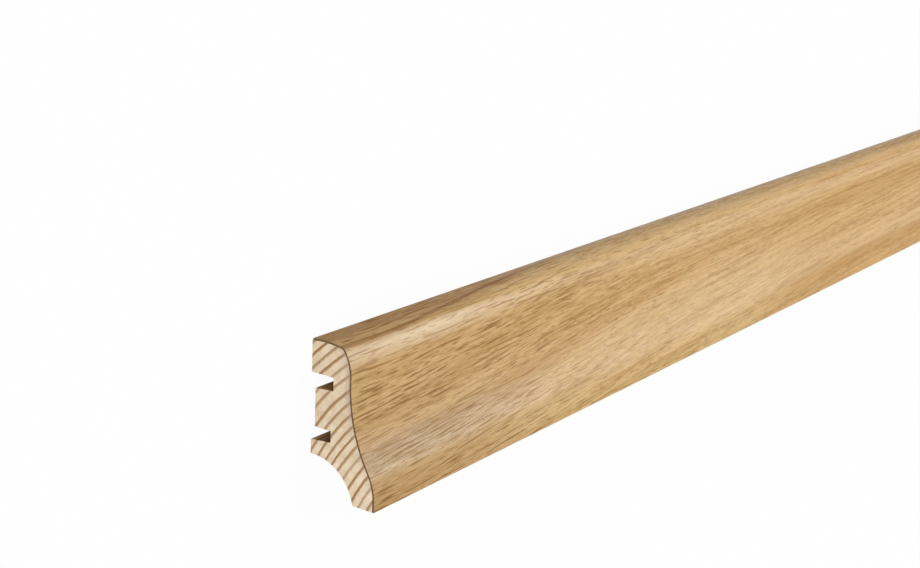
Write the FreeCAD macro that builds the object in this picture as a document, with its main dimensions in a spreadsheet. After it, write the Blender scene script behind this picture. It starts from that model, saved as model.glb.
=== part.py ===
import FreeCAD, Part
import math
import os
import Sketcher

# A length of small skirting board: a softwood core with an oak veneer over its moulded face.
# Millimetres. The board lies on its back, as it does when nothing holds it. X runs along it,
# +Y points to the top edge and -Y to the floor edge, and Z is the distance from the wall plane.
# The origin is the middle of the wall side.
# Each sketch shows the cross-section with its own origin at the corner of wall and floor,
# so its first coordinate is a height above the floor and its second a depth from the wall.

SIZES = {
    # the whole board
    "board_length": 2400.0,
    "board_height": 40.0,
    "board_depth": 20.0,
    # the veneer, and how far its back edge stays short of the wall plane
    "veneer_thickness": 0.5,
    "veneer_setback": 0.2,
    # the slightly domed top, with its highest line at this depth
    "crown_radius": 30.5,
    "crown_apex_depth": 3.6,
    # the rounded nose and the shoulder below it, down to the upright waist
    "nose_radius": 1.6,
    "shoulder_radius": 11.1,
    "shoulder_drop": 7.6,
    "waist_length": 1.7,
    "waist_depth": 12.2,
    # the rounded toe above its short upright; a hollow joins waist and toe
    "toe_radius": 12.4,
    "toe_height": 2.9,
    # the cable cove along the corner of wall and floor, bulging from its straight chord
    "cove_height": 10.2,
    "cove_depth": 13.4,
    "cove_bulge": 3.2,
    # the two clip grooves; the floor-side wall of each flares out towards the mouth
    "lower_tongue_height": 3.75,
    "lower_groove_width": 3.0,
    "lower_groove_depth": 6.2,
    "upper_groove_drop": 8.75,
    "upper_groove_width": 3.4,
    "upper_groove_depth": 6.75,
    "groove_flare": 0.55,
    # the middle tongue stands back from the wall by this
    "middle_tongue_relief": 1.2,
}

# heights that follow from the sizes above, as the sketches write them
LOWER_MOUTH = "(Sizes.cove_height + Sizes.lower_tongue_height)"
LOWER_INNER = "(" + LOWER_MOUTH + " + Sizes.groove_flare)"
LOWER_TOP = "(" + LOWER_INNER + " + Sizes.lower_groove_width)"
UPPER_TOP = "(Sizes.board_height - Sizes.upper_groove_drop)"
UPPER_INNER = "(" + UPPER_TOP + " - Sizes.upper_groove_width)"
UPPER_MOUTH = "(" + UPPER_INNER + " - Sizes.groove_flare)"

# how a sketch numbers a curve's points, its own origin and its two axes
START, END, CENTRE = range(1, 4)
ORIGIN = (-1, 1)
HEIGHT_AXIS = ORIGIN[0]
DEPTH_AXIS = HEIGHT_AXIS - 1

doc = FreeCAD.newDocument("SkirtingBoard")
sheet = doc.addObject("Spreadsheet::Sheet", "Sizes")
for row, (name, value) in enumerate(SIZES.items(), start=1):
    sheet.set("A%d" % row, name)
    sheet.set("B%d" % row, "%g" % value)
    sheet.setAlias("B%d" % row, name)
doc.recompute()


def new_body(label):
    """A piece that keeps the middle of the board's height at the origin."""
    body = doc.addObject("PartDesign::Body", label)
    body.Label = label
    body.setExpression("Placement.Base.y", "-Sizes.board_height / 2")
    return body


def section_sketch(body, name):
    """A sketch across the board, seen along its length."""
    sketch = body.newObject("Sketcher::SketchObject", name)
    plane = next(item for item in body.Origin.OriginFeatures if item.Role == "YZ_Plane")
    sketch.AttachmentSupport = (plane, [""])
    sketch.MapMode = "FlatFace"
    return sketch


def bind(sketch, constraint, expression):
    number = sketch.addConstraint(constraint)
    sketch.setExpression("Constraints[%d]" % number, expression)


def place_point(sketch, point, height, depth, guess):
    """Hold a point at a height and a depth; None puts it on that zero line."""
    if height is None:
        sketch.addConstraint(Sketcher.Constraint("PointOnObject", *point, DEPTH_AXIS))
    else:
        bind(sketch, Sketcher.Constraint("DistanceX", *ORIGIN, *point, guess.x), height)
    if depth is None:
        sketch.addConstraint(Sketcher.Constraint("PointOnObject", *point, HEIGHT_AXIS))
    else:
        bind(sketch, Sketcher.Constraint("DistanceY", *ORIGIN, *point, guess.y), depth)


def add_line(sketch, start, end):
    return sketch.addGeometry(Part.LineSegment(start, end), False)


def add_arc(sketch, centre, start, end):
    """Counter-clockwise arc from start to end."""
    radius = (start - centre).Length
    first = math.atan2(start.y - centre.y, start.x - centre.x)
    last = math.atan2(end.y - centre.y, end.x - centre.x)
    circle = Part.Circle(centre, FreeCAD.Vector(0, 0, 1), radius)
    return sketch.addGeometry(Part.ArcOfCircle(circle, first, last), False)


def join(sketch, first, second):
    sketch.addConstraint(Sketcher.Constraint("Coincident", *first, *second))


def meet_smoothly(sketch, first, second):
    sketch.addConstraint(Sketcher.Constraint("Tangent", *first, *second))


def point_towards(centre, target, radius):
    step = target - centre
    return centre + step * (radius / step.Length)


def face_points(inset, start_depth):
    """Where the moulded face's arcs and lines meet, on the line that lies inset below it."""
    size = SIZES
    vector = FreeCAD.Vector
    crown = vector(size["board_height"] - size["crown_radius"], size["crown_apex_depth"], 0)
    shoulder_height = size["board_height"] - size["shoulder_drop"]
    shoulder = vector(shoulder_height, size["waist_depth"] - size["shoulder_radius"], 0)
    # the nose's centre lies on a circle round each of its neighbours' centres
    from_crown = size["crown_radius"] - size["nose_radius"]
    from_shoulder = size["shoulder_radius"] - size["nose_radius"]
    span = shoulder - crown
    along = (span.Length ** 2 + from_crown ** 2 - from_shoulder ** 2) / (2 * span.Length)
    aside = math.sqrt(from_crown ** 2 - along ** 2)
    ahead = span / span.Length
    nose = crown + ahead * along + vector(-ahead.y, ahead.x, 0) * aside
    # the hollow's radius follows from the waist and the toe that it joins
    hollow_height = shoulder_height - size["waist_length"]
    step = size["board_depth"] - size["waist_depth"]
    lead = size["toe_radius"] - step
    fall = hollow_height - size["toe_height"]
    hollow_radius = (lead ** 2 + fall ** 2 - size["toe_radius"] ** 2) / (2 * step)
    hollow = vector(hollow_height, size["waist_depth"] + hollow_radius, 0)
    toe = vector(size["toe_height"], size["board_depth"] - size["toe_radius"], 0)
    back = start_depth - crown.y
    crown_reach = size["crown_radius"] - inset
    return {
        "crown": crown,
        "shoulder": shoulder,
        "nose": nose,
        "hollow": hollow,
        "toe": toe,
        "start": vector(crown.x + math.sqrt(crown_reach ** 2 - back ** 2), start_depth, 0),
        "crown_end": point_towards(crown, nose, crown_reach),
        "nose_end": point_towards(shoulder, nose, size["shoulder_radius"] - inset),
        "waist_top": vector(shoulder_height, size["waist_depth"] - inset, 0),
        "waist_foot": vector(hollow_height, size["waist_depth"] - inset, 0),
        "hollow_end": point_towards(toe, hollow, size["toe_radius"] - inset),
        "toe_end": vector(size["toe_height"], size["board_depth"] - inset, 0),
        "floor_end": vector(0, size["board_depth"] - inset, 0),
    }


def draw_face(sketch, inset, start_depth):
    """The line of the moulded face from top to floor edge: crown, nose, shoulder, waist, hollow
    and toe, each tangent to the next. inset and start_depth name a size, or are None for zero.
    Returns the line's two end points."""
    below = " - Sizes." + inset if inset else ""
    shift = SIZES[inset] if inset else 0.0
    point = face_points(shift, SIZES[start_depth] if start_depth else 0.0)

    crown = add_arc(sketch, point["crown"], point["start"], point["crown_end"])
    nose = add_arc(sketch, point["nose"], point["crown_end"], point["nose_end"])
    shoulder = add_arc(sketch, point["shoulder"], point["nose_end"], point["waist_top"])
    waist = add_line(sketch, point["waist_top"], point["waist_foot"])
    hollow = add_arc(sketch, point["hollow"], point["hollow_end"], point["waist_foot"])
    toe = add_arc(sketch, point["toe"], point["hollow_end"], point["toe_end"])
    upright = add_line(sketch, point["toe_end"], point["floor_end"])

    meet_smoothly(sketch, (crown, END), (nose, START))
    meet_smoothly(sketch, (nose, END), (shoulder, START))
    meet_smoothly(sketch, (shoulder, END), (waist, START))
    meet_smoothly(sketch, (waist, END), (hollow, END))
    meet_smoothly(sketch, (hollow, START), (toe, START))
    meet_smoothly(sketch, (toe, END), (upright, START))

    place_point(sketch, (crown, CENTRE), "Sizes.board_height - Sizes.crown_radius",
                "Sizes.crown_apex_depth", point["crown"])
    place_point(sketch, (waist, START), "Sizes.board_height - Sizes.shoulder_drop",
                "Sizes.waist_depth" + below, point["waist_top"])
    place_point(sketch, (waist, END), "Sizes.board_height - Sizes.shoulder_drop - Sizes.waist_length",
                "Sizes.waist_depth" + below, point["waist_foot"])
    place_point(sketch, (upright, START), "Sizes.toe_height",
                "Sizes.board_depth" + below, point["toe_end"])
    place_point(sketch, (upright, END), None, "Sizes.board_depth" + below, point["floor_end"])
    for arc, name in ((crown, "crown"), (nose, "nose"), (shoulder, "shoulder"), (toe, "toe")):
        radius = SIZES[name + "_radius"] - shift
        bind(sketch, Sketcher.Constraint("Radius", arc, radius), "Sizes." + name + "_radius" + below)
    if start_depth:
        bind(sketch, Sketcher.Constraint("DistanceY", *ORIGIN, crown, START, point["start"].y),
             "Sizes." + start_depth)
    else:
        sketch.addConstraint(Sketcher.Constraint("PointOnObject", crown, START, HEIGHT_AXIS))
    return (crown, START), (upright, END), point


def draw_outline(sketch, corners):
    """Closed outline of straight lines; each corner is a height and a depth, None for zero."""
    count = len(corners)
    middle = FreeCAD.Vector(SIZES["board_height"] / 2, SIZES["board_depth"] / 2, 0)
    reach = SIZES["board_depth"] / 4
    guesses = []
    for number in range(count):
        turn = 2 * math.pi * number / count
        guesses.append(middle + FreeCAD.Vector(math.cos(turn), math.sin(turn), 0) * reach)
    lines = []
    for number in range(count):
        lines.append(add_line(sketch, guesses[number], guesses[(number + 1) % count]))
    for number in range(count):
        join(sketch, (lines[number], END), (lines[(number + 1) % count], START))
    for number, (height, depth) in enumerate(corners):
        place_point(sketch, (lines[number], START), height, depth, guesses[number])


def along_board(body, kind, name, sketch):
    """A pad or pocket of the section, over the board's whole length."""
    feature = body.newObject("PartDesign::" + kind, name)
    feature.Profile = sketch
    feature.SideType = "Symmetric"
    if kind == "Pad":
        feature.setExpression("Length", "Sizes.board_length")
    else:
        feature.Type = "ThroughAll"
    sketch.Visibility = False
    return feature


def core_blank(body):
    """The core before its back is machined: the moulded line, the wall side and the floor side."""
    sketch = section_sketch(body, "core_section")
    top, foot, point = draw_face(sketch, "veneer_thickness", None)
    corner = FreeCAD.Vector(0, 0, 0)
    floor_side = add_line(sketch, point["floor_end"], corner)
    wall_side = add_line(sketch, corner, point["start"])
    join(sketch, foot, (floor_side, START))
    join(sketch, (floor_side, END), ORIGIN)
    join(sketch, ORIGIN, (wall_side, START))
    join(sketch, (wall_side, END), top)
    return along_board(body, "Pad", "core_blank", sketch)


def clip_groove(body, name, mouth, inner, top, depth):
    """A groove square at the top, with a floor-side wall that flares from inner to mouth."""
    sketch = section_sketch(body, name + "_section")
    draw_outline(sketch, [(top, None), (top, depth), (inner, depth), (mouth, None)])
    return along_board(body, "Pocket", name, sketch)


def tongue_relief(body):
    """Sets the middle tongue back from the wall, from one groove to the other."""
    sketch = section_sketch(body, "relief_section")
    depth = "Sizes.middle_tongue_relief"
    draw_outline(sketch, [(LOWER_TOP, None), (UPPER_INNER, None), (UPPER_INNER, depth), (LOWER_TOP, depth)])
    return along_board(body, "Pocket", "middle_tongue_relief", sketch)


def cable_cove(body):
    """The hollow that leaves room for a cable between board, wall and floor."""
    size = SIZES
    sketch = section_sketch(body, "cove_section")
    corner = FreeCAD.Vector(0, 0, 0)
    on_wall = FreeCAD.Vector(size["cove_height"], 0, 0)
    on_floor = FreeCAD.Vector(0, size["cove_depth"], 0)
    chord = on_floor - on_wall
    radius = chord.Length ** 2 / (8 * size["cove_bulge"]) + size["cove_bulge"] / 2
    inward = FreeCAD.Vector(-chord.y, chord.x, 0) / chord.Length
    centre = (on_wall + on_floor) / 2 + inward * (radius - size["cove_bulge"])
    wall_line = add_line(sketch, corner, on_wall)
    arc = add_arc(sketch, centre, on_wall, on_floor)
    floor_line = add_line(sketch, on_floor, corner)
    join(sketch, ORIGIN, (wall_line, START))
    join(sketch, (wall_line, END), (arc, START))
    join(sketch, (arc, END), (floor_line, START))
    join(sketch, (floor_line, END), ORIGIN)
    place_point(sketch, (arc, START), "Sizes.cove_height", None, on_wall)
    place_point(sketch, (arc, END), None, "Sizes.cove_depth", on_floor)
    chord_squared = "(Sizes.cove_height * Sizes.cove_height + Sizes.cove_depth * Sizes.cove_depth)"
    bind(sketch, Sketcher.Constraint("Radius", arc, radius),
         chord_squared + " / (8 * Sizes.cove_bulge) + Sizes.cove_bulge / 2")
    return along_board(body, "Pocket", "cable_cove", sketch)


def veneer_band(body):
    """The veneer between the finished face and the core's face, over top, nose and front."""
    sketch = section_sketch(body, "veneer_section")
    outer_top, outer_foot, outer = draw_face(sketch, None, "veneer_setback")
    inner_top, inner_foot, inner = draw_face(sketch, "veneer_thickness", "veneer_setback")
    back_edge = add_line(sketch, inner["start"], outer["start"])
    floor_edge = add_line(sketch, outer["floor_end"], inner["floor_end"])
    join(sketch, (back_edge, START), inner_top)
    join(sketch, (back_edge, END), outer_top)
    join(sketch, (floor_edge, START), outer_foot)
    join(sketch, (floor_edge, END), inner_foot)
    return along_board(body, "Pad", "veneer_band", sketch)


core = new_body("core")
core_steps = [
    core_blank(core),
    clip_groove(core, "upper_clip_groove", UPPER_MOUTH, UPPER_INNER, UPPER_TOP, "Sizes.upper_groove_depth"),
    clip_groove(core, "lower_clip_groove", LOWER_MOUTH, LOWER_INNER, LOWER_TOP, "Sizes.lower_groove_depth"),
    tongue_relief(core),
    cable_cove(core),
]
veneer = new_body("face_veneer")
veneer_band(veneer)
doc.recompute()

for item in doc.Objects:
    if "Invalid" in item.State or "Error" in item.State:
        raise RuntimeError(item.Name + " did not compute")
for before, after in zip(core_steps, core_steps[1:]):
    if after.Shape.Volume >= before.Shape.Volume:
        raise RuntimeError(after.Name + " cut nothing")
for body in (core, veneer):
    if body.Shape.isNull() or not body.Shape.isValid() or len(body.Shape.Solids) != 1:
        raise RuntimeError(body.Label + " is not one valid solid")

os.makedirs("parts", exist_ok=True)
for body in (core, veneer):
    body.Shape.exportStep("parts/" + body.Label + ".step")
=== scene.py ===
import math

import bmesh
import bpy
from mathutils import Matrix, Vector


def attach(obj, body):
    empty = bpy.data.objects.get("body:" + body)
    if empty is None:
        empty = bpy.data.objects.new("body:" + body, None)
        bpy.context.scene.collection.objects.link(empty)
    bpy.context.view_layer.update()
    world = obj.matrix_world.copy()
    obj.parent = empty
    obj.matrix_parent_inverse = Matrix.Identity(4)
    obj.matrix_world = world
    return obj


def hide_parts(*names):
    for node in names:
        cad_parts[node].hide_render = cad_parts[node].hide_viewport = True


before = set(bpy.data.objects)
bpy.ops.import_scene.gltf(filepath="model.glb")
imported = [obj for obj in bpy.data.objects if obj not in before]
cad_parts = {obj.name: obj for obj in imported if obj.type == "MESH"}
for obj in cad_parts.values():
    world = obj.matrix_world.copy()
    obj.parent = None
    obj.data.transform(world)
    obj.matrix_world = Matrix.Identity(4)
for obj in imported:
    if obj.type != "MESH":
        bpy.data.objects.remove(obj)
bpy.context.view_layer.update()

# A length of veneered skirting board, lying on its back. X runs along it, +Y points to the
# top edge and -Y to the floor edge, and Z is the distance from the wall side. Sizes in metres.

MM = 0.001

# the board's section: heights are above the floor edge, depths from the wall side
BOARD_LENGTH = 2400 * MM
BOARD_HEIGHT = 40 * MM
BOARD_DEPTH = 20 * MM
VENEER = 0.5 * MM
VENEER_SETBACK = 0.2 * MM
CROWN_RADIUS = 30.5 * MM
CROWN_APEX_DEPTH = 3.6 * MM
NOSE_RADIUS = 1.6 * MM
SHOULDER_RADIUS = 11.1 * MM
SHOULDER_DROP = 7.6 * MM
WAIST_LENGTH = 1.7 * MM
WAIST_DEPTH = 12.2 * MM
TOE_RADIUS = 12.4 * MM
TOE_HEIGHT = 2.9 * MM
COVE_HEIGHT = 10.2 * MM
COVE_DEPTH = 13.4 * MM
COVE_BULGE = 3.2 * MM
LOWER_TONGUE_HEIGHT = 3.75 * MM
LOWER_GROOVE_WIDTH = 3.0 * MM
LOWER_GROOVE_DEPTH = 6.2 * MM
UPPER_GROOVE_DROP = 8.75 * MM
UPPER_GROOVE_WIDTH = 3.4 * MM
UPPER_GROOVE_DEPTH = 6.75 * MM
GROOVE_FLARE = 0.55 * MM
MIDDLE_TONGUE_RELIEF = 1.2 * MM

START_X = -BOARD_LENGTH / 2

# the steps that each arc is drawn in
CROWN_STEPS = 12
NOSE_STEPS = 10
SHOULDER_STEPS = 16
HOLLOW_STEPS = 28
TOE_STEPS = 14
COVE_STEPS = 28

# points nearer than this are one, and edges that turn by less than this are smooth
SAME_PLACE = 1e-7
SMOOTH_TURN = math.radians(20)

# the oak's grain, in millimetres: it bends near the photographed end, bends a little more
# further on, and swings in long waves
GRAIN_BEND = 15
GRAIN_BEND_START = -40
GRAIN_BEND_END = 190
FAR_BEND = 4
FAR_BEND_END = 310
GRAIN_SWING = 9
GRAIN_SWING_LENGTH = 1000

# fibres and pores follow this share of the way that the grain wanders
FIBRE_SHARE = 0.6

# the summed noises that give the oak's brown, and those that give its straw
BROWN_TONE = 1.18
STRAW_TONE = 2.3

# four kinds of pore: the lengths of their cells in millimetres, where their pattern starts
# and how dark they are
PORE_KINDS = (
    ((10, 0.62, 1), (0, 0, 0), 0.9),
    ((7, 0.5, 1), (2, 5, 0), 0.8),
    ((15, 0.8, 1), (6, 3, 0), 0.9),
    ((9, 0.55, 1), (8, 1, 0), 0.9),
)

# the softwood's rings, in millimetres; the lean years are the distances from the pith at
# which they begin, are full, begin to end and have ended
PITH_HEIGHT = -21.3
PITH_DEPTH = 56.1
FIRST_RING = 43.8
RING_SPACING = 2.4
LEAN_YEARS = (56.5, 60, 67, 70)
LEAN_YEARS_SHIFT = 0.65

# how far under the moulded line glue still shows in full and where it ends, and how deep in
# the grooves their painted shade is darkest, in millimetres
GLUE_FULL = 0.5
GLUE_END = 2.8
GROOVE_SHADE_DEEPEST = 4.8

# the finishes: how rough they are, how high their relief is and how much light they reflect
LACQUER_ROUGHNESS = 0.3
VENEER_EDGE_ROUGHNESS = 0.7
SOFTWOOD_ROUGHNESS = 0.65
LACQUER_RELIEF = 0.02 * MM
BARE_WOOD_RELIEF = 0.05 * MM
TOP_EDGE_SHINE = 0.02
SAWN_SHINE = 0.25
PLANED_SHINE = 0.08
PORE_STRENGTH = 0.86

# light levels, where 1 is white; the floor has one tone in the lamps' light, another to the eye
WHITE = (1, 1, 1, 1)
AMBIENT_STRENGTH = 0.45
FLOOR_TONE_IN_LIGHT = 0.5
FLOOR_TONE_SEEN = 0.85
FLOOR_GLOW = 0.96

# the lamps' width in degrees, and where the light from above and behind comes from
SOFT = 60
NARROW = 14
FROM_BEHIND = (0.665, 0.33, 0.67)

FLOOR_SIZE = 8
FLOOR_DROP = 0.1 * MM

# the photograph's camera, in the board's frame
PHOTO_WIDTH = 920
FOCAL_PIXELS = 1625
SENSOR_WIDTH = 36
CAMERA_PLACE = Vector((-1.485388, 0.139041, 0.240276))
CAMERA_FORWARD = Vector((0.791108, -0.270227, -0.548749))
CAMERA_UP = Vector((0.197412, 0.961912, -0.189086))
NEAREST_SEEN = 0.01
FARTHEST_SEEN = 50


# sections and solids

def section_point(height, depth):
    """A point of the section at the board's photographed end."""
    return Vector((START_X, height - BOARD_HEIGHT / 2, depth))


def face_centres():
    """The centres of the moulded face's arcs: crown, nose, shoulder, hollow and toe."""
    crown = Vector((BOARD_HEIGHT - CROWN_RADIUS, CROWN_APEX_DEPTH))
    shoulder = Vector((BOARD_HEIGHT - SHOULDER_DROP, WAIST_DEPTH - SHOULDER_RADIUS))

    # the nose touches the arcs on both its sides from within
    from_crown = CROWN_RADIUS - NOSE_RADIUS
    from_shoulder = SHOULDER_RADIUS - NOSE_RADIUS
    span = shoulder - crown
    along = (span.length ** 2 + from_crown ** 2 - from_shoulder ** 2) / (2 * span.length)
    aside = math.sqrt(from_crown ** 2 - along ** 2)
    ahead = span.normalized()
    nose = crown + ahead * along + Vector((-ahead.y, ahead.x)) * aside

    # the hollow leaves the waist straight and touches the toe's arc
    step = BOARD_DEPTH - WAIST_DEPTH
    lead = TOE_RADIUS - step
    fall = shoulder.x - WAIST_LENGTH - TOE_HEIGHT
    hollow_radius = (lead ** 2 + fall ** 2 - TOE_RADIUS ** 2) / (2 * step)
    hollow = Vector((shoulder.x - WAIST_LENGTH, WAIST_DEPTH + hollow_radius))
    toe = Vector((TOE_HEIGHT, BOARD_DEPTH - TOE_RADIUS))
    return crown, nose, shoulder, hollow, toe


def heading(start, end):
    """The turn, in radians, of the line from one centre to the other."""
    return math.atan2(end.y - start.y, end.x - start.x)


class Outline:
    """A section drawn vertex by vertex, with the distance walked kept on each vertex."""

    def __init__(self, mesh, height, depth):
        self.mesh = mesh
        self.walked = mesh.verts.layers.float["walked"]
        self.first = mesh.verts.new(section_point(height, depth))
        self.last = self.first

    def step_to(self, vertex):
        """Take the vertex as the line's new end."""
        vertex[self.walked] = self.last[self.walked] + (vertex.co - self.last.co).length
        self.last = vertex

    def line_to(self, height, depth):
        """Go straight on to this height and depth."""
        grown = bmesh.ops.extrude_vert_indiv(self.mesh, verts=[self.last])
        end = grown["verts"][0]
        end.co = section_point(height, depth)
        self.step_to(end)

    def arc(self, centre, sweep, steps):
        """Turn about a centre, given as height and depth, by the sweep in radians."""
        place = section_point(centre.x, centre.y)
        for _ in range(steps):
            spun = bmesh.ops.spin(self.mesh, geom=[self.last], cent=place, axis=(1, 0, 0),
                                  dvec=(0, 0, 0), angle=sweep / steps, steps=1)
            self.step_to(new_vertices(spun["geom_last"])[0])


def new_vertices(geometry):
    """The vertices among what an operator made."""
    return [item for item in geometry if isinstance(item, bmesh.types.BMVert)]


def walk_face(outline, inset, start_depth):
    """The moulded face from the top's back edge to the floor edge, inset below the finish."""
    crown, nose, shoulder, hollow, toe = face_centres()
    start_turn = math.asin((start_depth - crown.y) / (CROWN_RADIUS - inset))
    crown_turn = heading(crown, nose)
    nose_turn = heading(shoulder, nose)
    quarter = math.pi / 2
    toe_turn = heading(toe, hollow)
    outline.arc(crown, crown_turn - start_turn, CROWN_STEPS)
    outline.arc(nose, nose_turn - crown_turn, NOSE_STEPS)
    outline.arc(shoulder, quarter - nose_turn, SHOULDER_STEPS)
    outline.line_to(shoulder.x - WAIST_LENGTH, WAIST_DEPTH - inset)
    outline.arc(hollow, toe_turn - quarter, HOLLOW_STEPS)
    outline.arc(toe, quarter - toe_turn, TOE_STEPS)
    outline.line_to(0, BOARD_DEPTH - inset)


def face_start(inset, start_depth):
    """Height of the face's back edge at that depth."""
    crown = face_centres()[0]
    radius = CROWN_RADIUS - inset
    return crown.x + math.sqrt(radius ** 2 - (start_depth - crown.y) ** 2)


def draw_core(mesh):
    """The core's closed section: the face under its veneer, the cove and the grooved wall side."""
    outline = Outline(mesh, face_start(VENEER, 0), 0)
    walk_face(outline, VENEER, 0)

    outline.line_to(0, COVE_DEPTH)
    chord = Vector((COVE_HEIGHT, -COVE_DEPTH))
    radius = chord.length ** 2 / (8 * COVE_BULGE) + COVE_BULGE / 2
    middle = Vector((COVE_HEIGHT, COVE_DEPTH)) / 2
    inward = Vector((-COVE_DEPTH, -COVE_HEIGHT)).normalized()
    centre = middle + inward * (radius - COVE_BULGE)
    sweep = 2 * math.asin(chord.length / 2 / radius)
    outline.arc(centre, -sweep, COVE_STEPS)

    lower_mouth = COVE_HEIGHT + LOWER_TONGUE_HEIGHT
    lower_inner = lower_mouth + GROOVE_FLARE
    lower_top = lower_inner + LOWER_GROOVE_WIDTH
    upper_top = BOARD_HEIGHT - UPPER_GROOVE_DROP
    upper_inner = upper_top - UPPER_GROOVE_WIDTH
    relief_share = MIDDLE_TONGUE_RELIEF / UPPER_GROOVE_DEPTH
    upper_lip = upper_inner - GROOVE_FLARE * (1 - relief_share)
    for height, depth in (
        (lower_mouth, 0),
        (lower_inner, LOWER_GROOVE_DEPTH),
        (lower_top, LOWER_GROOVE_DEPTH),
        (lower_top, MIDDLE_TONGUE_RELIEF),
        (upper_lip, MIDDLE_TONGUE_RELIEF),
        (upper_inner, UPPER_GROOVE_DEPTH),
        (upper_top, UPPER_GROOVE_DEPTH),
        (upper_top, 0),
    ):
        outline.line_to(height, depth)
    mesh.edges.new((outline.last, outline.first))


def draw_veneer(mesh):
    """The veneer's closed section: the finished face and the same line under it."""
    outer = Outline(mesh, face_start(0, VENEER_SETBACK), VENEER_SETBACK)
    walk_face(outer, 0, VENEER_SETBACK)
    inner = Outline(mesh, face_start(VENEER, VENEER_SETBACK), VENEER_SETBACK)
    walk_face(inner, VENEER, VENEER_SETBACK)
    mesh.edges.new((outer.first, inner.first))
    mesh.edges.new((outer.last, inner.last))


def put_in_order(mesh):
    """Give the faces and edges one order, because the operators leave another in each run."""
    mesh.verts.index_update()
    for items in (mesh.faces, mesh.edges):
        ordered = sorted(items, key=lambda item: sorted(vertex.index for vertex in item.verts))
        ranks = {item: rank for rank, item in enumerate(ordered)}
        items.sort(key=ranks.get)


def make_length(name, draw, long_sides, sawn_ends):
    """Extrude a drawn section along the board, with a material for its sides and its sawn ends."""
    mesh = bmesh.new()
    mesh.verts.layers.float.new("walked")
    draw(mesh)
    end_face = bmesh.ops.contextual_create(mesh, geom=mesh.edges[:])["faces"]
    grown = bmesh.ops.extrude_face_region(mesh, geom=end_face, use_keep_orig=True)
    bmesh.ops.translate(mesh, verts=new_vertices(grown["geom"]), vec=(BOARD_LENGTH, 0, 0))
    bmesh.ops.remove_doubles(mesh, verts=mesh.verts[:], dist=SAME_PLACE)
    bmesh.ops.recalc_face_normals(mesh, faces=mesh.faces[:])
    put_in_order(mesh)

    # the map gives each point its place along the board and the distance walked round the section
    board_map = mesh.loops.layers.uv.new("board_map")
    walked = mesh.verts.layers.float["walked"]
    for face in mesh.faces:
        sawn = abs(face.normal.x) > 0.5
        face.smooth = not sawn
        face.material_index = 1 if sawn else 0
        for loop in face.loops:
            loop[board_map].uv = (loop.vert.co.x, loop.vert[walked])
    for edge in mesh.edges:
        edge.smooth = len(edge.link_faces) == 2 and edge.calc_face_angle() < SMOOTH_TURN

    data = bpy.data.meshes.new(name)
    mesh.to_mesh(data)
    mesh.free()
    data.materials.append(long_sides)
    data.materials.append(sawn_ends)
    return put_in_scene(name, data)


def put_in_scene(name, data):
    """A new object with this data."""
    made = bpy.data.objects.new(name, data)
    bpy.context.scene.collection.objects.link(made)
    return made


# materials

def colour(red, green, blue):
    """A colour written as a screen shows it, 0 to 255, turned into light."""
    parts = []
    for value in (red, green, blue):
        share = value / 255
        if share <= 0.04045:
            parts.append(share / 12.92)
        else:
            parts.append(((share + 0.055) / 1.055) ** 2.4)
    return (*parts, 1.0)


# the oak's two tones by the photographed end, further on, and far along
BROWN_BY_END = colour(160, 118, 61)
BROWN = colour(175, 133, 72)
FAR_BROWN = colour(172, 126, 60)
STRAW_BY_END = colour(207, 171, 119)
STRAW = colour(219, 183, 129)
FAR_STRAW = colour(214, 175, 114)

# what lies over them on the front
CREAM = colour(230, 202, 148)
GOLDEN = colour(178, 128, 62)
DEEP_GOLDEN = colour(178, 124, 44)
DUSKY = colour(140, 106, 66)
PORE_BROWN = colour(128, 82, 24)

# and on the top edge and the nose, with painted shade on the top edge, a painted grey reflection by
# the wall, painted light above the nose and a painted highlight below it
TOP_EDGE_PAINTED_SHADE = colour(140, 92, 40)
WALL_EDGE_BROWN = colour(150, 102, 56)
STREAK_BROWN = colour(124, 72, 26)
PALE_FLECK = colour(212, 188, 146)
DARK_FLECK = colour(142, 104, 58)
WALL_EDGE_PAINTED_REFLECTION = colour(176, 170, 164)
WARM_TOP = colour(200, 150, 70)
TOP_PAINTED_LIGHT = colour(235, 200, 146)
NOSE_PAINTED_HIGHLIGHT = colour(236, 214, 182)

# the veneer's cut edge
VENEER_EDGE_DARK = colour(76, 52, 28)
VENEER_EDGE_LIGHT = colour(116, 86, 52)

# the core's sawn ends and planed sides, with painted shade towards the sawn ends' top edge and
# inside the grooves
SAWN_DARK = colour(215, 190, 156)
SAWN_PALE = colour(251, 233, 205)
SAWN_PAINTED_SHADE = colour(196, 166, 130)
GLUE_GREY = colour(176, 158, 142)
PLANED_DARK = colour(196, 156, 104)
PLANED_PALE = colour(226, 192, 142)
LATE_WOOD = colour(152, 111, 60)
GROOVE_PAINTED_SHADE = colour(108, 54, 4)


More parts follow.
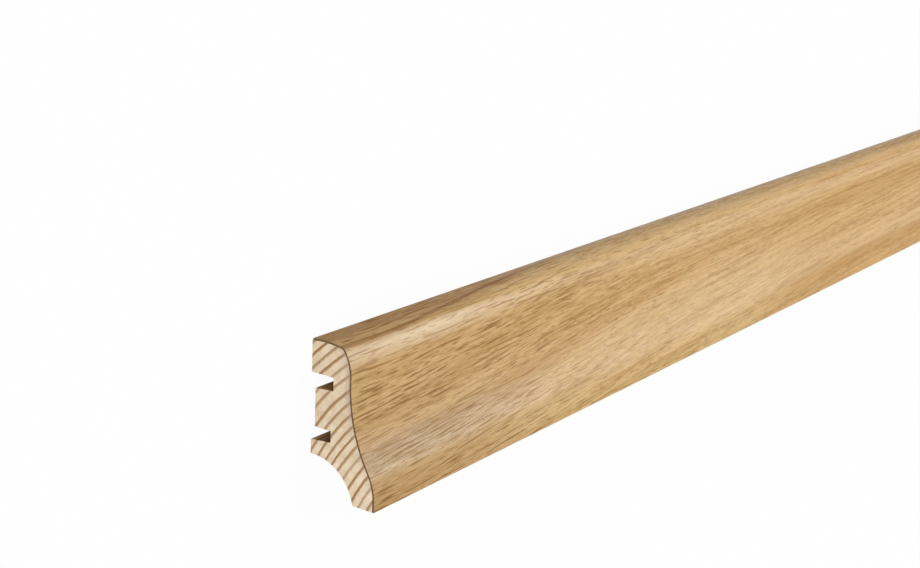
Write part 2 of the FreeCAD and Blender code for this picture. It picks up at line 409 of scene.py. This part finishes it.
class Nodes:
    """A node tree whose nodes are joined in plain calls."""

    def __init__(self, tree):
        self.tree = tree

    def node(self, kind, **settings):
        """A new node of this kind with these settings."""
        made = self.tree.nodes.new(kind)
        for name, value in settings.items():
            setattr(made, name, value)
        return made

    def feed(self, socket, value):
        """Link another node's output to the socket, or set the socket's own value."""
        if isinstance(value, bpy.types.NodeSocket):
            self.tree.links.new(value, socket)
        else:
            socket.default_value = value

    def math(self, operation, first, second=0.0, third=0.0):
        """The result of one sum on numbers or on other nodes' outputs."""
        made = self.node("ShaderNodeMath", operation=operation)
        for socket, value in zip(made.inputs, (first, second, third)):
            self.feed(socket, value)
        return made.outputs[0]

    def background_ray(self):
        """1 for a ray that should see the white background, 0 for one that only carries light."""
        ray = self.node("ShaderNodeLightPath")
        seen = ray.outputs["Is Camera Ray"]
        for kind in ("Is Glossy Ray", "Is Transmission Ray"):
            seen = self.math("MAXIMUM", seen, ray.outputs[kind])
        return seen

    def blend(self, share, first, second):
        """The first shader where share is 0 and the second where it is 1."""
        made = self.node("ShaderNodeMixShader")
        for socket, value in zip(made.inputs, (share, first.outputs[0], second.outputs[0])):
            self.feed(socket, value)
        return made.outputs[0]


class Recipe(Nodes):
    """A material's nodes. The lengths in its patterns are in millimetres."""

    def __init__(self, name):
        self.material = bpy.data.materials.new(name)
        self.material.use_nodes = True
        super().__init__(self.material.node_tree)
        self.shader = self.tree.nodes["Principled BSDF"]

    def mapped(self, vector, scale, shift=(0, 0, 0)):
        """The vector scaled along each axis and then moved."""
        made = self.node("ShaderNodeMapping")
        self.feed(made.inputs["Vector"], vector)
        made.inputs["Scale"].default_value = scale
        made.inputs["Location"].default_value = shift
        return made.outputs[0]

    def object_place(self):
        """The place in the board, in millimetres."""
        coordinates = self.node("ShaderNodeTexCoord").outputs["Object"]
        return self.mapped(coordinates, (1 / MM, 1 / MM, 1 / MM))

    def noise(self, vector, lengths, detail=2.0, roughness=0.5, shift=(0, 0, 0)):
        """Noise whose blotches are about as long as lengths, one length for each axis."""
        scale = tuple(1 / length for length in lengths)
        made = self.node("ShaderNodeTexNoise")
        self.feed(made.inputs["Vector"], self.mapped(vector, scale, shift))
        made.inputs["Scale"].default_value = 1.0
        made.inputs["Detail"].default_value = detail
        made.inputs["Roughness"].default_value = roughness
        return made.outputs["Fac"]

    def cells(self, vector, lengths, shift=(0, 0, 0)):
        """Distance to the nearest of scattered points, one to a cell of these lengths."""
        scale = tuple(1 / length for length in lengths)
        made = self.node("ShaderNodeTexVoronoi")
        self.feed(made.inputs["Vector"], self.mapped(vector, scale, shift))
        made.inputs["Scale"].default_value = 1.0
        return made.outputs["Distance"]

    def between(self, value, low, high, low_gives=0.0, high_gives=1.0):
        """From low_gives at low to high_gives at high in a smooth step, and level beyond both."""
        made = self.node("ShaderNodeMapRange", interpolation_type="SMOOTHSTEP")
        for name, item in (("Value", value), ("From Min", low), ("From Max", high),
                           ("To Min", low_gives), ("To Max", high_gives)):
            self.feed(made.inputs[name], item)
        return made.outputs[0]

    def plateau(self, value, start, full, full_end, end):
        """1 from full to full_end, 0 outside start and end."""
        rising = self.between(value, start, full)
        return self.product(rising, self.between(value, full_end, end, 1.0, 0.0))

    def stripe(self, value, middle, core, edge, strength):
        """Strength within core of the middle, fading to 0 at edge."""
        aside = self.math("ABSOLUTE", self.math("SUBTRACT", value, middle))
        return self.between(aside, core, edge, strength, 0.0)

    def falling(self, along, start, slope, height):
        """A line at this height that falls by the slope once past start."""
        past = self.math("MAXIMUM", self.math("SUBTRACT", along, start), 0.0)
        return self.math("MULTIPLY_ADD", past, -slope, height)

    def half_chord(self, value, middle, radius):
        """Half the width, at this value, of a circle about the middle."""
        off = self.math("SUBTRACT", value, middle)
        off_squared = self.math("MULTIPLY", off, off)
        return self.math("SQRT", self.math("SUBTRACT", radius ** 2, off_squared))

    def product(self, first, *others):
        """All the values multiplied."""
        for other in others:
            first = self.math("MULTIPLY", first, other)
        return first

    def weighted(self, *pairs):
        """The sum of values, each given with its weight."""
        total = 0.0
        for value, weight in pairs:
            total = self.math("MULTIPLY_ADD", value, weight, total)
        return total

    def opposite(self, share):
        """0 where the share is 1, and 1 where it is 0."""
        return self.math("SUBTRACT", 1.0, share)

    def sway(self, vector, lengths, reach, shift):
        """Noise about zero, to move a line sideways by up to about half of reach."""
        noise = self.noise(vector, lengths, detail=1.0, shift=shift)
        return self.math("MULTIPLY", self.math("SUBTRACT", noise, 0.5), reach)

    def mix(self, share, first, second):
        """The first colour where share is 0 and the second where it is 1."""
        made = self.node("ShaderNodeMix", data_type="RGBA")
        ends = [socket for socket in made.inputs if socket.type == "RGBA"]
        self.feed(made.inputs["Factor"], share)
        self.feed(ends[0], first)
        self.feed(ends[1], second)
        return next(socket for socket in made.outputs if socket.type == "RGBA")

    def stain(self, tint, stain_colour, *shares):
        """The tint with a stain over it, as strong as the product of the shares."""
        return self.mix(self.product(*shares), tint, stain_colour)

    def split(self, vector):
        """The vector's three parts."""
        made = self.node("ShaderNodeSeparateXYZ")
        self.feed(made.inputs[0], vector)
        return made.outputs

    def join(self, x, y, z=0.0):
        """A vector of these three parts."""
        made = self.node("ShaderNodeCombineXYZ")
        for socket, value in zip(made.inputs, (x, y, z)):
            self.feed(socket, value)
        return made.outputs[0]

    def bump(self, height, distance):
        """Give the surface a fine relief that rises by the distance where height is 1."""
        made = self.node("ShaderNodeBump")
        made.inputs["Strength"].default_value = 1.0
        made.inputs["Distance"].default_value = distance
        self.feed(made.inputs["Height"], height)
        self.feed(self.shader.inputs["Normal"], made.outputs[0])

    def finish(self, tint, roughness):
        """Give the surface its colour and roughness, and hand the material over."""
        self.feed(self.shader.inputs["Base Color"], tint)
        self.feed(self.shader.inputs["Roughness"], roughness)
        return self.material


# In the oak's patterns, along is the distance from the photographed end and across the
# distance from the top's back edge, round the section. The nose is at about 10 mm, the
# hollow at 30 to 45 mm and the floor edge at 51 mm.

def grain_places(recipe, flat, along, across):
    """The place on the face as the broad figure follows it, and as fibres and pores do."""
    # the grain bends towards the top edge and swings along the board, least on the top edge
    bend = recipe.between(along, GRAIN_BEND_START, GRAIN_BEND_END, GRAIN_BEND / 2, -GRAIN_BEND / 2)
    swing = recipe.math("COSINE", recipe.math("MULTIPLY", along, 2 * math.pi / GRAIN_SWING_LENGTH))
    course = recipe.math("MULTIPLY_ADD", swing, GRAIN_SWING, bend)
    far_bend = recipe.between(along, GRAIN_BEND_END, FAR_BEND_END, 0.0, -FAR_BEND)
    course = recipe.math("ADD", course, far_bend)
    course_share = recipe.between(across, 4, 32, 0.25, 1.0)
    drift = recipe.sway(flat, (230, 60, 1), 5.0, (5, 3, 0))
    tremble = recipe.sway(flat, (70, 9, 1), 1.0, (2, 9, 0))
    wander = recipe.weighted((course, course_share), (drift, 1.0), (tremble, 1.0))
    figure = recipe.join(along, recipe.math("SUBTRACT", across, wander))
    grain = recipe.join(along, recipe.math("MULTIPLY_ADD", wander, -FIBRE_SHARE, across))
    return figure, grain


def oak_tone(recipe, along, figure, grain):
    """Brown to straw, in bands, streaks and fibres, each about as long and wide as its lengths."""
    broad = recipe.noise(figure, (170, 6.5, 1), shift=(1, 4, 0))
    bands = recipe.noise(figure, (70, 2.4, 1), shift=(7, 1, 0))
    streaks = recipe.noise(grain, (16, 0.85, 1), roughness=0.6, shift=(3, 8, 0))
    fibres = recipe.noise(grain, (6, 0.5, 1), roughness=0.6, shift=(9, 2, 0))
    flecks = recipe.noise(grain, (4, 1.1, 1), roughness=0.6, shift=(6, 5, 0))
    tone = recipe.weighted((bands, 0.85), (broad, 0.85), (streaks, 0.75), (fibres, 1.0),
                           (flecks, 0.3))

    # further along the board longer streaks show
    long_streak_share = recipe.between(along, 90, 240, 0.0, 1.1)
    long_streaks = recipe.sway(grain, (45, 1.3, 1), long_streak_share, (2, 6, 0))
    tone = recipe.math("ADD", tone, long_streaks)

    off_end = recipe.between(along, 5, 90)
    far_on = recipe.between(along, 180, 320)
    brown = recipe.mix(far_on, recipe.mix(off_end, BROWN_BY_END, BROWN), FAR_BROWN)
    straw = recipe.mix(far_on, recipe.mix(off_end, STRAW_BY_END, STRAW), FAR_STRAW)
    return recipe.mix(recipe.between(tone, BROWN_TONE, STRAW_TONE), brown, straw), fibres


def front_bands(recipe, tint, along, across):
    """The long light and dark bands on the front: where they run and how strong they are."""
    in_hollow = recipe.plateau(across, 24, 33, 43, 48)
    off_end = recipe.between(along, 60, 130, 0.0, 0.12)
    tint = recipe.stain(tint, CREAM, in_hollow, off_end, recipe.between(along, 200, 280, 1.0, 0.3))

    # one golden band climbs the front and breaks off for a while, and one runs above the floor edge
    fading = recipe.between(along, 400, 700, 1.0, 0.3)
    climbing_line = recipe.math("MAXIMUM", recipe.falling(along, 50, 0.11, 37), 21)
    climbing = recipe.stripe(across, climbing_line, 0.6, 4, 0.3)
    gap = recipe.stripe(along, 240, 10, 45, 0.7)
    climbing = recipe.product(climbing, recipe.between(along, 45, 80), recipe.opposite(gap))
    tint = recipe.stain(tint, GOLDEN, climbing, fading)
    low_band = recipe.stripe(across, 43.8, 0.6, 5, 0.46)
    tint = recipe.stain(tint, DEEP_GOLDEN, low_band, recipe.between(along, 190, 280), fading)

    # a pale patch lies low on the front, and a dusky streak above it by the end
    patch = recipe.stripe(across, 46, 1, 4, 0.3)
    tint = recipe.stain(tint, CREAM, patch, recipe.stripe(along, 76, 12, 36, 1.0))
    streak_top = recipe.between(across, 32, 37)
    streak_foot = recipe.between(across, 40, 44, 1.0, 0.35)
    streak_strength = recipe.between(along, 30, 110, 0.42, 0.0)
    return recipe.stain(tint, DUSKY, streak_top, streak_foot, streak_strength)


def top_edge_shade_and_streak(recipe, tint, along, across):
    """Painted shade as a dark band on the top edge, strongest by the end, and a darker streak that
    leaves the nose and crosses it.
    """
    # the dark band is painted shade on the top edge
    shade_edge = recipe.falling(along, 38, 0.1, 9.9)
    in_painted_shade = recipe.between(recipe.math("SUBTRACT", shade_edge, across), -0.5, 0.5)
    shade_strength = recipe.between(across, 4, 7, 0.32, 0.18)
    by_end = recipe.between(along, 5, 40, 1.3, 1.0)
    tint = recipe.stain(tint, TOP_EDGE_PAINTED_SHADE, in_painted_shade, shade_strength, by_end)
    tint = recipe.stain(tint, WALL_EDGE_BROWN, recipe.between(across, 3.5, 6, 0.15, 0.0))
    streak_line = recipe.falling(along, 22, 0.105, 9.3)
    streak = recipe.stripe(across, streak_line, 0.4, 1.0, 0.65)
    return recipe.stain(tint, STREAK_BROWN, streak, recipe.between(along, 60, 110, 1.0, 0.0))


def top_edge_flecks(recipe, tint, along, across):
    """Pale flecks on the top edge, and further along dark ones between them."""
    flecks = recipe.noise(recipe.join(along, across), (7, 1.6, 1), roughness=0.6, shift=(5, 9, 0))
    on_top = recipe.between(across, 7.5, 9.5, 1.0, 0.0)
    pale = recipe.between(flecks, 0.5, 0.68)
    tint = recipe.stain(tint, PALE_FLECK, pale, on_top, recipe.between(along, 10, 60, 0.2, 0.4),
                        recipe.between(along, 100, 200, 1.0, 1.5))
    dark = recipe.between(flecks, 0.34, 0.48, 1.0, 0.0)
    return recipe.stain(tint, DARK_FLECK, dark, on_top, recipe.between(along, 60, 160, 0.0, 0.3))


def painted_light_on_nose(recipe, tint, along, across):
    """Painted light on the top above the nose and a painted highlight below the nose; further
    along, a painted grey reflection on the top by the wall, and the top warm by the nose.
    """
    # a painted grey reflection on the top by the wall, further along
    reflection_by_wall = recipe.between(across, 1.5, 4, 0.25, 0.0)
    tint = recipe.stain(tint, WALL_EDGE_PAINTED_REFLECTION, reflection_by_wall, recipe.between(along, 40, 120))
    by_nose = recipe.plateau(across, 3, 4.5, 7.5, 10)
    tint = recipe.stain(tint, WARM_TOP, by_nose, recipe.between(along, 90, 180, 0.0, 0.1))
    # painted light on the top above the nose
    painted_light_above_nose = recipe.plateau(across, 4.5, 8.5, 9.5, 10.5)
    tint = recipe.stain(tint, TOP_PAINTED_LIGHT, painted_light_above_nose, recipe.between(along, 40, 120, 0.2, 0.5))
    # a painted highlight below the nose, strongest by the end
    highlight_line = recipe.between(along, 40, 140, 12.4, 13.8)
    highlight_below_nose = recipe.stripe(across, highlight_line, 1.6, 3.2, 0.3)
    return recipe.stain(tint, NOSE_PAINTED_HIGHLIGHT, highlight_below_nose, recipe.between(along, 25, 75, 1.0, 0.22))


def oak_pores(recipe, along, across, grain):
    """Fine dark lines, and pores as thin dashes, a little wider where the spring wood lies."""
    hairlines = recipe.noise(grain, (13, 0.55, 1), detail=1.0, shift=(4, 7, 0))
    line_strength = recipe.between(along, 30, 150, 0.85, 0.4)
    pores = recipe.product(recipe.between(hairlines, 0.54, 0.66), line_strength)
    spring_wood = recipe.noise(grain, (60, 1.8, 1), detail=1.0, shift=(11, 2, 0))
    spread = recipe.between(spring_wood, 0.3, 0.62, 0.155, 0.195)
    half_spread = recipe.math("MULTIPLY", spread, 0.5)
    for lengths, shift, darkness in PORE_KINDS:
        spots = recipe.cells(grain, lengths, shift)
        dashes = recipe.between(spots, half_spread, spread, darkness, 0.0)
        pores = recipe.math("MAXIMUM", pores, dashes)

    # they show less in the hollow, on the nose by the end, and far on
    hollow = recipe.stripe(across, 38, 4, 9, 0.38)
    nose = recipe.product(recipe.stripe(across, 12.5, 2.5, 5, 0.4),
                          recipe.between(along, 40, 85, 1.0, 0.2))
    return recipe.product(pores, recipe.opposite(hollow), recipe.opposite(nose),
                          recipe.between(along, 110, 280, 1.0, 0.5))


def lacquer_shine(recipe, along, across, grain):
    """How much the lacquer reflects: most on the shoulder just off the end, least on the top."""
    shoulder_shine = recipe.product(recipe.between(along, 5, 40, 0.7, 1.0),
                                    recipe.between(along, 45, 100, 0.083, 0.061))
    # in the hollow fine lines along the grain break the sheen up
    fine_lines = recipe.noise(grain, (14, 0.4, 1), detail=1.0, shift=(3, 6, 0))
    hollow_shine = recipe.product(recipe.between(along, 160, 320, 0.068, 0.055),
                                  recipe.between(fine_lines, 0.38, 0.62, 0.6, 1.35))
    front_shine = recipe.between(across, 20, 34, shoulder_shine, hollow_shine)
    full_shine_line = recipe.between(along, 40, 140, 10.9, 14.5)
    return recipe.between(across, 9.3, full_shine_line, TOP_EDGE_SHINE, front_shine)


def oak_veneer():
    """Lacquered oak: soft tone bands along the grain, fine streaks and short dark pores."""
    recipe = Recipe("oak_veneer")
    board_map = recipe.node("ShaderNodeUVMap", uv_map="board_map").outputs[0]
    flat = recipe.mapped(board_map, (1 / MM, 1 / MM, 1), (BOARD_LENGTH / MM / 2, 0, 0))
    along, across, _ = recipe.split(flat)
    figure, grain = grain_places(recipe, flat, along, across)

    tint, fibres = oak_tone(recipe, along, figure, grain)
    for add_marks in (front_bands, top_edge_shade_and_streak, top_edge_flecks, painted_light_on_nose):
        tint = add_marks(recipe, tint, along, across)
    pores = oak_pores(recipe, along, across, grain)
    tint = recipe.stain(tint, PORE_BROWN, pores, PORE_STRENGTH)

    recipe.bump(recipe.weighted((fibres, 0.8), (pores, -1.0)), LACQUER_RELIEF)
    roughness = recipe.weighted((fibres, 0.1), (pores, 0.25))
    roughness = recipe.math("ADD", roughness, LACQUER_ROUGHNESS)
    shine = lacquer_shine(recipe, along, across, grain)
    recipe.feed(recipe.shader.inputs["Specular IOR Level"], shine)
    return recipe.finish(tint, roughness)


def veneer_edge():
    """The veneer's cut edge with its glue line."""
    recipe = Recipe("veneer_edge")
    speckle = recipe.noise(recipe.object_place(), (0.9, 0.9, 0.9), detail=3.0)
    tint = recipe.mix(recipe.between(speckle, 0.3, 0.7), VENEER_EDGE_DARK, VENEER_EDGE_LIGHT)
    recipe.bump(speckle, BARE_WOOD_RELIEF)
    return recipe.finish(tint, VENEER_EDGE_ROUGHNESS)


def glue_shade(recipe, height, depth):
    """How far glue has darkened the sawn core: 1 beside the moulded line, 0 further in."""
    shoulder = face_centres()[2] / MM
    hollow = face_centres()[3] / MM
    hollow_radius = hollow.y - WAIST_DEPTH / MM
    upper = recipe.half_chord(height, shoulder.x, SHOULDER_RADIUS / MM)
    upper = recipe.math("ADD", upper, shoulder.y)
    lower = recipe.half_chord(height, hollow.x, hollow_radius)
    lower = recipe.math("SUBTRACT", hollow.y, lower)
    above = recipe.math("GREATER_THAN", height, hollow.x)
    moulded_line = recipe.math("MULTIPLY_ADD", above, recipe.math("SUBTRACT", upper, lower), lower)
    under = recipe.math("SUBTRACT", moulded_line, depth)
    return recipe.between(under, GLUE_FULL, GLUE_END, 1.0, 0.0)


def growth_rings(recipe, place, height, depth):
    """Late wood lines round a pith outside the board: 0 in pale wood, up to 1 on a dark line."""
    up = recipe.math("SUBTRACT", height, PITH_HEIGHT)
    out = recipe.math("SUBTRACT", depth, PITH_DEPTH)
    radius = recipe.math("SQRT", recipe.weighted((out, out), (up, up)))
    # some years grew less than the rest, so their lines lie nearer to the pith
    lean_years = recipe.plateau(radius, *LEAN_YEARS)
    waver = recipe.sway(place, (240, 16, 16), 0.6, (0, 2, 4))
    wiggle = recipe.sway(place, (30, 1.6, 1.6), 0.3, (3, 6, 1))
    shift = recipe.weighted((lean_years, LEAN_YEARS_SHIFT), (waver, 1.0), (wiggle, 1.0))
    grown = recipe.math("ADD", radius, shift)
    grown = recipe.math("SUBTRACT", grown, FIRST_RING - RING_SPACING / 2)
    years = recipe.math("DIVIDE", grown, RING_SPACING)
    season = recipe.math("FRACT", years)
    late_wood = recipe.plateau(season, 0.2, 0.46, 0.54, 0.68)

    # each year's line has its own strength
    year = recipe.node("ShaderNodeTexWhiteNoise", noise_dimensions="1D")
    recipe.feed(year.inputs["W"], recipe.math("FLOOR", years))
    strength = recipe.math("MULTIPLY_ADD", year.outputs["Value"], 0.4, 0.6)
    return recipe.product(late_wood, strength)


def softwood(name, sawn):
    """Softwood with growth rings; sawn ends are coarser than planed sides."""
    recipe = Recipe(name)
    place = recipe.object_place()
    _, sideways, depth = recipe.split(place)
    height = recipe.math("ADD", sideways, BOARD_HEIGHT / MM / 2)
    rings = growth_rings(recipe, place, height, depth)
    fibre_lengths = (0.3, 0.3, 0.3) if sawn else (18, 0.35, 0.35)
    fibre = recipe.noise(place, fibre_lengths, detail=3.0, roughness=0.6)
    blotch = recipe.noise(place, (60, 3, 3), shift=(4, 1, 6))
    speckle = recipe.between(recipe.weighted((blotch, 0.5), (fibre, 0.5)), 0.25, 0.75)
    if sawn:
        pale = recipe.mix(speckle, SAWN_DARK, SAWN_PALE)
        # painted shade, a little darker towards the top edge, and darker beside the glue
        pale = recipe.stain(pale, SAWN_PAINTED_SHADE, recipe.between(height, 6, 24, 0.0, 0.14))
        tint = recipe.mix(rings, pale, LATE_WOOD)
        glue_strength = recipe.between(height, 15, 25, 0.22, 0.5)
        tint = recipe.stain(tint, GLUE_GREY, glue_shade(recipe, height, depth), glue_strength)
    else:
        pale = recipe.mix(speckle, PLANED_DARK, PLANED_PALE)
        tint = recipe.mix(rings, pale, LATE_WOOD)
        # painted shade: the grooves above the cove are darkened inside, the upper one less
        above_cove = recipe.math("GREATER_THAN", height, COVE_HEIGHT / MM + 1)
        inside = recipe.between(depth, MIDDLE_TONGUE_RELIEF / MM + 0.1, GROOVE_SHADE_DEEPEST)
        groove_shade_strength = recipe.between(height, 18, 25, 0.78, 0.55)
        tint = recipe.stain(tint, GROOVE_PAINTED_SHADE, above_cove, inside, groove_shade_strength)
    recipe.bump(recipe.weighted((rings, 0.5), (fibre, 1.0)), BARE_WOOD_RELIEF)
    recipe.shader.inputs["Specular IOR Level"].default_value = SAWN_SHINE if sawn else PLANED_SHINE
    return recipe.finish(tint, recipe.math("MULTIPLY_ADD", fibre, 0.15, SOFTWOOD_ROUGHNESS))


core = make_length("skirting_core", draw_core, softwood("planed_softwood", False),
                   softwood("sawn_softwood", True))
veneer = make_length("oak_face", draw_veneer, oak_veneer(), veneer_edge())
for piece, node, slot in ((core, "core", "softwood_core"), (veneer, "face_veneer", "oak_veneer")):
    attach(piece, "root")
    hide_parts(node)


# floor, light and camera

def pale_floor():
    """White to the camera with the board's faint shadow, and pale grey to the lamps' light."""
    material = bpy.data.materials.new("pale_floor")
    material.use_nodes = True
    nodes = Nodes(material.node_tree)
    nodes.tree.nodes.clear()
    tone = nodes.node("ShaderNodeMapRange")
    nodes.feed(tone.inputs["Value"], nodes.background_ray())
    nodes.feed(tone.inputs["To Min"], FLOOR_TONE_IN_LIGHT)
    nodes.feed(tone.inputs["To Max"], FLOOR_TONE_SEEN)
    matt = nodes.node("ShaderNodeBsdfDiffuse")
    nodes.feed(matt.inputs["Color"], tone.outputs[0])
    bright = nodes.node("ShaderNodeEmission")
    nodes.feed(bright.inputs["Strength"], 1.0)
    glow = nodes.math("MULTIPLY", nodes.background_ray(), FLOOR_GLOW)
    end = nodes.node("ShaderNodeOutputMaterial")
    nodes.feed(end.inputs["Surface"], nodes.blend(glow, matt, bright))
    return material


def add_sun(name, direction, strength, spread):
    """A distant lamp; direction points from the board to the lamp."""
    data = bpy.data.lights.new(name, "SUN")
    data.energy = strength
    data.angle = math.radians(spread)
    lamp = put_in_scene(name, data)
    lamp.rotation_euler = Vector(direction).to_track_quat("Z", "Y").to_euler()
    return lamp


floor_mesh = bmesh.new()
bmesh.ops.create_grid(floor_mesh, x_segments=1, y_segments=1, size=FLOOR_SIZE)
bmesh.ops.translate(floor_mesh, verts=floor_mesh.verts[:], vec=(0, 0, -FLOOR_DROP))
floor_data = bpy.data.meshes.new("floor")
floor_mesh.to_mesh(floor_data)
floor_mesh.free()
floor_data.materials.append(pale_floor())
floor = put_in_scene("floor", floor_data)

add_sun("front_light", (-0.80, -0.28, 0.53), strength=1.8, spread=SOFT)
add_sun("top_light", (0.30, 0.88, 0.38), strength=0.6, spread=SOFT)
add_sun("fill_light", FROM_BEHIND, strength=0.8, spread=SOFT)
# this lamp is only for the lacquer's sheen
sheen_light = add_sun("sheen_light", FROM_BEHIND, strength=4.0, spread=NARROW)
sheen_light.visible_diffuse = False

world = bpy.data.worlds.new("studio")
bpy.context.scene.world = world
world.use_nodes = True
sky = Nodes(world.node_tree)
sky.tree.nodes.clear()
ambient = sky.node("ShaderNodeBackground")
backdrop = sky.node("ShaderNodeBackground")
for shade, strength in ((ambient, AMBIENT_STRENGTH), (backdrop, 1.0)):
    sky.feed(shade.inputs["Color"], WHITE)
    sky.feed(shade.inputs["Strength"], strength)
world_end = sky.node("ShaderNodeOutputWorld")
sky.feed(world_end.inputs["Surface"], sky.blend(sky.background_ray(), ambient, backdrop))

camera_data = bpy.data.cameras.new("camera")
camera_data.sensor_width = SENSOR_WIDTH
camera_data.lens = SENSOR_WIDTH * FOCAL_PIXELS / PHOTO_WIDTH
camera_data.clip_start = NEAREST_SEEN
camera_data.clip_end = FARTHEST_SEEN
camera = put_in_scene("camera", camera_data)
right = CAMERA_FORWARD.cross(CAMERA_UP).normalized()
up = right.cross(CAMERA_FORWARD).normalized()
turned = Matrix((right, up, -CAMERA_FORWARD.normalized())).transposed()
camera.matrix_world = Matrix.Translation(CAMERA_PLACE) @ turned.to_4x4()
bpy.context.scene.camera = camera
bpy.context.scene.view_settings.view_transform = "Standard"
